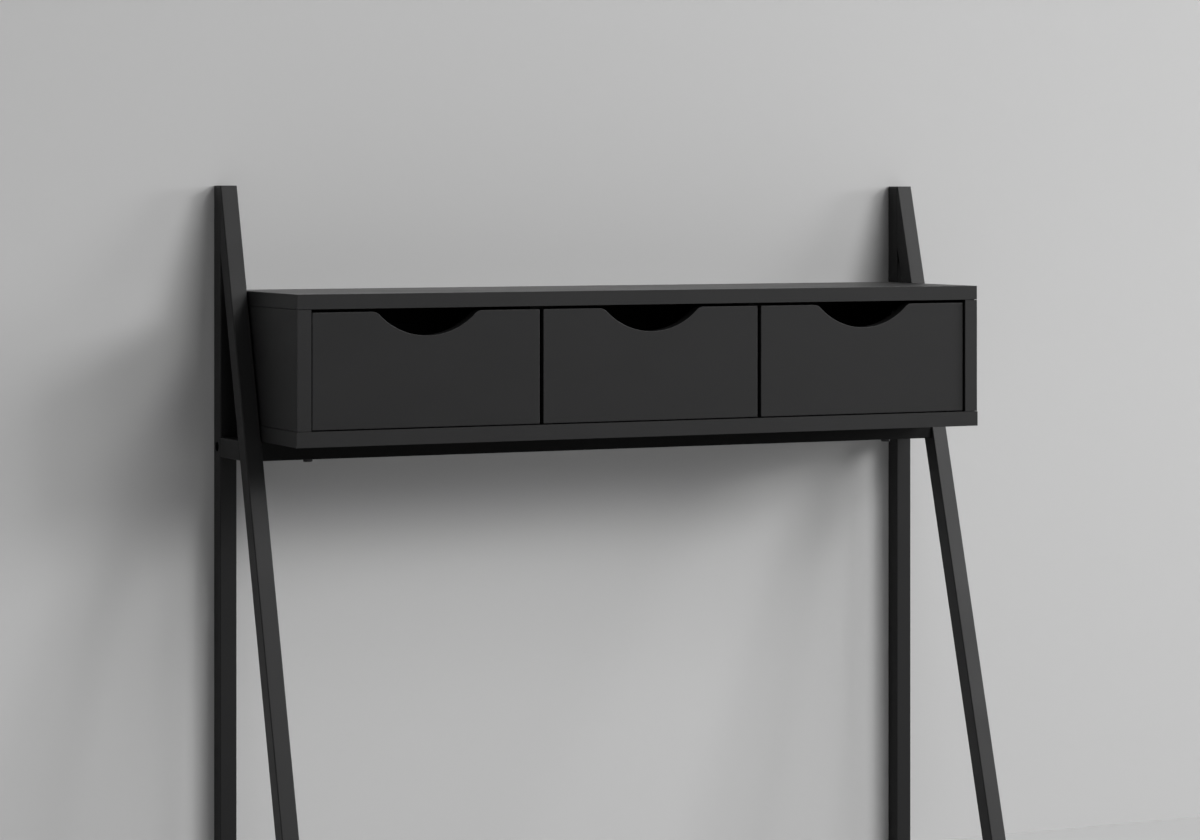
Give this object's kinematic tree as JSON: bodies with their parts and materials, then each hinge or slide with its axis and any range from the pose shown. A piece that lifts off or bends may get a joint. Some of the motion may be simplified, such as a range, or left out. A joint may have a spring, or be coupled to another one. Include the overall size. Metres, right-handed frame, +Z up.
{
  "type": "ladder desk",
  "caption": "Wall-side ladder desk: leaning steel tube side frames carry a shallow box with a writing top and scoop-grip drawers on slides.",
  "frame": {"origin": "on the floor under the middle of the desk's bounding box", "axes": "+X along the desk's width, to the right of a person who faces the drawers; +Y towards the wall behind it; +Z up"},
  "size_m": [1.004, 0.2846, 0.912],
  "materials": {
    "frame_steel": "black fine-texture powder coat, satin",
    "cap_plastic": "black moulded plastic",
    "black_bolt": "black oxide, low sheen",
    "desktop_paint": "charcoal lacquered board, satin",
    "box_paint": "charcoal lacquered board, satin",
    "front_paint": "charcoal lacquered board, satin",
    "drawer_board": "dark melamine-faced board",
    "hardboard": "dark painted hardboard",
    "dowel_wood": "plain fluted beech",
    "zinc_steel": "bright zinc plate",
    "slide_steel": "dark zinc plate, lightly oiled"
  },
  "bodies": {
    "desk": {"back_panel": "hardboard", "base_panel": "box_paint", "box_bolt_inserts": "zinc_steel", "box_bolts": "black_bolt", "cam_bolts": "zinc_steel", "cam_locks": "zinc_steel", "case_dowels": "dowel_wood", "case_screws": "zinc_steel", "case_slide_screws": "zinc_steel", "front_foot_caps": "cap_plastic", "front_stretcher": "frame_steel", "front_stretcher_spigots": "frame_steel", "left_case_slides": "slide_steel", "left_divider": "box_paint", "left_front_leg": "frame_steel", "left_rear_leg": "frame_steel", "left_side_panel": "box_paint", "left_side_rail": "frame_steel", "leg_top_caps": "cap_plastic", "middle_case_slides": "slide_steel", "rear_foot_caps": "cap_plastic", "rear_stretcher": "frame_steel", "rear_stretcher_bolts": "black_bolt", "rear_stretcher_end_plugs": "cap_plastic", "right_case_slides": "slide_steel", "right_divider": "box_paint", "right_front_leg": "frame_steel", "right_rear_leg": "frame_steel", "right_side_panel": "box_paint", "right_side_rail": "frame_steel", "top_panel": "desktop_paint"},
    "left_drawer": {"left_drawer_back": "drawer_board", "left_drawer_dowels": "dowel_wood", "left_drawer_floor": "hardboard", "left_drawer_front": "front_paint", "left_drawer_left_side": "drawer_board", "left_drawer_right_side": "drawer_board", "left_drawer_slide_screws": "zinc_steel", "left_drawer_slides": "slide_steel"},
    "left_cages": {"left_slide_cages": "slide_steel"},
    "middle_drawer": {"middle_drawer_back": "drawer_board", "middle_drawer_dowels": "dowel_wood", "middle_drawer_floor": "hardboard", "middle_drawer_front": "front_paint", "middle_drawer_left_side": "drawer_board", "middle_drawer_right_side": "drawer_board", "middle_drawer_slide_screws": "zinc_steel", "middle_drawer_slides": "slide_steel"},
    "middle_cages": {"middle_slide_cages": "slide_steel"},
    "right_drawer": {"right_drawer_back": "drawer_board", "right_drawer_dowels": "dowel_wood", "right_drawer_floor": "hardboard", "right_drawer_front": "front_paint", "right_drawer_left_side": "drawer_board", "right_drawer_right_side": "drawer_board", "right_drawer_slide_screws": "zinc_steel", "right_drawer_slides": "slide_steel"},
    "right_cages": {"right_slide_cages": "slide_steel"}
  },
  "joints": [
    {"name": "left_drawer_slide", "type": "slide", "parent": "desk", "child": "left_drawer", "axis": [0, -1, 0], "range_m": [0, 0.14]},
    {"name": "left_cage_slide", "type": "slide", "parent": "desk", "child": "left_cages", "axis": [0, -1, 0], "range_m": [0, 0.07]},
    {"name": "middle_drawer_slide", "type": "slide", "parent": "desk", "child": "middle_drawer", "axis": [0, -1, 0], "range_m": [0, 0.14]},
    {"name": "middle_cage_slide", "type": "slide", "parent": "desk", "child": "middle_cages", "axis": [0, -1, 0], "range_m": [0, 0.07]},
    {"name": "right_drawer_slide", "type": "slide", "parent": "desk", "child": "right_drawer", "axis": [0, -1, 0], "range_m": [0, 0.14]},
    {"name": "right_cage_slide", "type": "slide", "parent": "desk", "child": "right_cages", "axis": [0, -1, 0], "range_m": [0, 0.07]}
  ],
  "couplings": [
    {"joint": "left_cage_slide", "follows": "left_drawer_slide", "ratio": 0.5},
    {"joint": "middle_cage_slide", "follows": "middle_drawer_slide", "ratio": 0.5},
    {"joint": "right_cage_slide", "follows": "right_drawer_slide", "ratio": 0.5}
  ]
}
